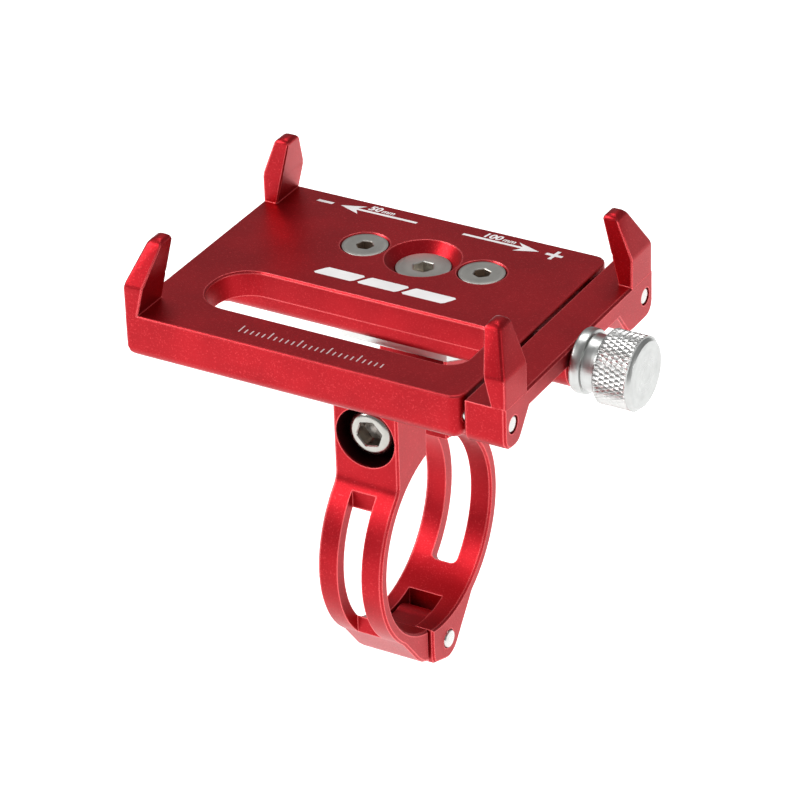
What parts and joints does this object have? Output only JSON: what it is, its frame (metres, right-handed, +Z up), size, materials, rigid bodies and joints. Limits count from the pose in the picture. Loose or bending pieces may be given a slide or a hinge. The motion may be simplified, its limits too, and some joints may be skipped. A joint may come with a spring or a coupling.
{
  "type": "phone handlebar mount",
  "caption": "Slotted plate with fixed claws, a sliding clawed jaw on rods driven by a knurled thumb screw, a swivel base and a hinged two-piece bar clamp.",
  "frame": {"origin": "handlebar axis at the middle of the clamp's width", "axes": "+X along the handlebar towards the thumb knob, -Y the front where the clamp bolt's head is, +Z up, normal to the plate's top face"},
  "size_m": [0.0748, 0.0471, 0.0785],
  "materials": {
    "red_anodised": "bead-blasted, red anodised",
    "silver_base": "machined, clear anodised",
    "silver_knob": "diamond knurled grip, turned faces",
    "screw_steel": "turned stainless screw head",
    "bolt_steel": "stainless cap screw",
    "thread_steel": "rolled thread",
    "bright_steel": "ground rod",
    "spring_steel": "dark spring steel",
    "nylon": "natural nylon"
  },
  "bodies": {
    "bar_clamp": {"clamp_half_rear": "red_anodised", "hinge_pin": "bright_steel", "swivel_screw": "screw_steel"},
    "holder": {"base_plate": "red_anodised", "swivel_base": "silver_base", "base_screw_left": "screw_steel", "base_screw_right": "screw_steel", "swivel_washer": "nylon"},
    "jaw": {"moving_jaw": "red_anodised", "guide_rod_front": "bright_steel", "guide_rod_rear": "bright_steel"},
    "knob": {"lead_screw": "thread_steel", "screw_clip": "spring_steel", "thumb_knob": "silver_knob"},
    "strap": {"clamp_half_front": "red_anodised"},
    "bolt": {"clamp_bolt": "bolt_steel"}
  },
  "joints": [
    {"name": "plate_swivel", "type": "hinge", "parent": "bar_clamp", "child": "holder", "pos_m": [0, 0.0075, 0.0325], "axis": [0, 0, 1], "continuous": true},
    {"name": "jaw_slide", "type": "slide", "parent": "holder", "child": "jaw", "axis": [1, 0, 0], "range_m": [-0.0002, 0.047]},
    {"name": "knob_spin", "type": "hinge", "parent": "jaw", "child": "knob", "pos_m": [0.04, -0.00367, 0.0401], "axis": [1, 0, 0], "range_deg": [-361, 21160]},
    {"name": "clamp_hinge", "type": "hinge", "parent": "bar_clamp", "child": "strap", "pos_m": [0, 0.0012, -0.0199], "axis": [1, 0, 0], "range_deg": [-1, 100]},
    {"name": "bolt_travel", "type": "slide", "parent": "strap", "child": "bolt", "axis": [0, -1, 0], "range_m": [-0.0002, 0.0176]}
  ],
  "couplings": [
    {"joint": "knob_spin", "follows": "jaw_slide", "rad_per_m": 7854},
    {"joint": "bolt_travel", "follows": "clamp_hinge", "m_per_rad": 0.01}
  ]
}
